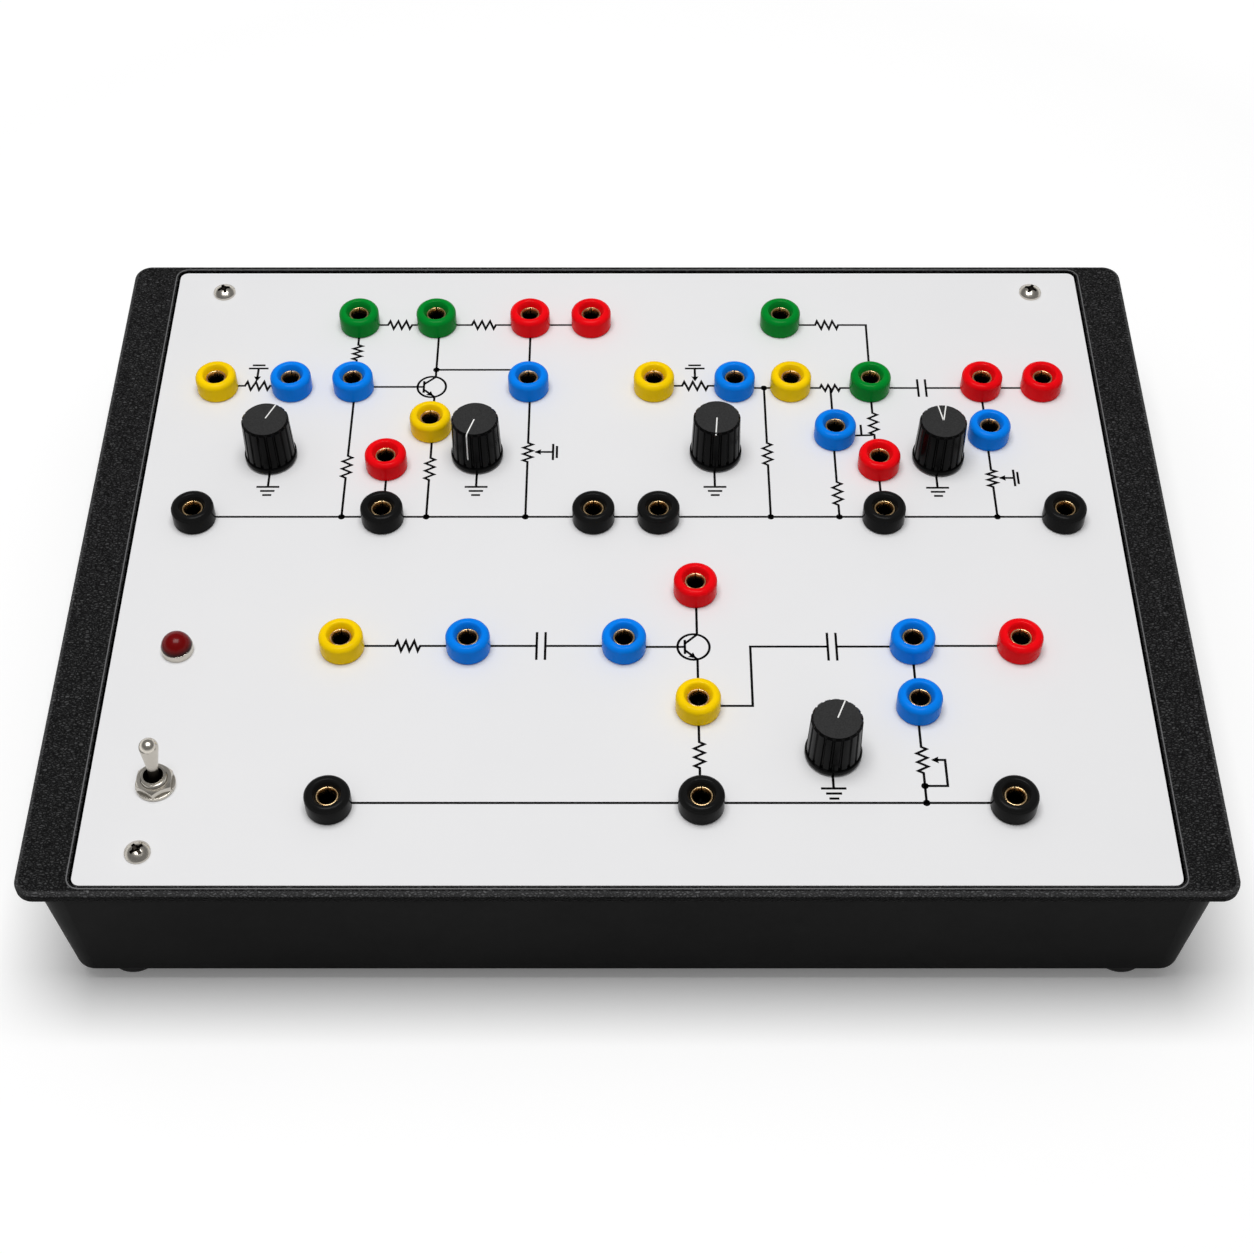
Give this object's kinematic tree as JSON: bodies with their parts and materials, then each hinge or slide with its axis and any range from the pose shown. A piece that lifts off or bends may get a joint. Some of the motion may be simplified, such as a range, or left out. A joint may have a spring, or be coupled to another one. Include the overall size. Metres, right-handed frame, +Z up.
{
  "type": "transistor amplifier trainer",
  "caption": "Flat trainer case with a sloped-wall tray, a panel of coloured plug sockets over a printed circuit, fluted control knobs, a toggle switch and a pilot lamp.",
  "frame": {"origin": "on the table under the middle of the rim", "axes": "+X to the right along the long side, +Y to the back, +Z up through the panel"},
  "size_m": [0.2758, 0.205, 0.058],
  "materials": {
    "case_black": "leather-grained black ABS",
    "panel_grey": "satin pale grey",
    "rubber": "soft black rubber",
    "nickel": "bright nickel plate",
    "plastic_red": "glossy red",
    "plastic_yellow": "glossy yellow",
    "plastic_blue": "glossy blue",
    "plastic_green": "glossy green",
    "plastic_black": "glossy black",
    "brass": "turned brass",
    "knob_black": "black, satin disc and glossy flutes",
    "aluminium": "turned",
    "zinc": "zinc plated",
    "lens_red": "dark red, moulded",
    "core_steel": "varnished laminations",
    "winding": "taped winding",
    "board_green": "solder resist"
  },
  "bodies": {
    "case": {"case_tray": "case_black", "front_panel": "panel_grey", "rubber_feet": "rubber", "panel_screws": "nickel", "cord_grommet": "rubber", "socket_heads_red": "plastic_red", "socket_heads_yellow": "plastic_yellow", "socket_heads_blue": "plastic_blue", "socket_heads_green": "plastic_green", "socket_heads_black": "plastic_black", "socket_contacts": "brass", "pot_housings": "zinc", "pot_nuts": "nickel", "switch_body": "plastic_black", "switch_bushing": "nickel", "switch_washer": "nickel", "switch_nut": "nickel", "lamp_bezel": "nickel", "lamp_lens": "lens_red", "lamp_nut": "nickel", "transformer_core": "core_steel", "transformer_coil": "winding", "transformer_strap": "zinc", "supply_board": "board_green", "filter_capacitor": "plastic_black", "strap_screws": "nickel", "board_screws": "nickel"},
    "knob_1": {"control_knob_1": "knob_black", "pot_shaft_1": "aluminium"},
    "knob_2": {"control_knob_2": "knob_black", "pot_shaft_2": "aluminium"},
    "knob_3": {"control_knob_3": "knob_black", "pot_shaft_3": "aluminium"},
    "knob_4": {"control_knob_4": "knob_black", "pot_shaft_4": "aluminium"},
    "knob_5": {"control_knob_5": "knob_black", "pot_shaft_5": "aluminium"},
    "lever": {"switch_lever": "nickel"}
  },
  "joints": [
    {"name": "knob_1_turn", "type": "hinge", "parent": "case", "child": "knob_1", "pos_m": [-0.0928, 0.0304, 0.0439], "axis": [0, 0, 1], "range_deg": [-125, 175]},
    {"name": "knob_2_turn", "type": "hinge", "parent": "case", "child": "knob_2", "pos_m": [-0.0391, 0.0306, 0.0439], "axis": [0, 0, 1], "range_deg": [-300, 0]},
    {"name": "knob_3_turn", "type": "hinge", "parent": "case", "child": "knob_3", "pos_m": [0.023, 0.0312, 0.0439], "axis": [0, 0, 1], "range_deg": [-300, 0]},
    {"name": "knob_4_turn", "type": "hinge", "parent": "case", "child": "knob_4", "pos_m": [0.0809, 0.0297, 0.0439], "axis": [0, 0, 1], "range_deg": [-157, 143]},
    {"name": "knob_5_turn", "type": "hinge", "parent": "case", "child": "knob_5", "pos_m": [0.0482, -0.0638, 0.0439], "axis": [0, 0, 1], "range_deg": [-128, 172]},
    {"name": "switch_toggle", "type": "hinge", "parent": "case", "child": "lever", "pos_m": [-0.1093, -0.0726, 0.0445], "axis": [1, 0, 0], "range_deg": [0, 24]}
  ]
}
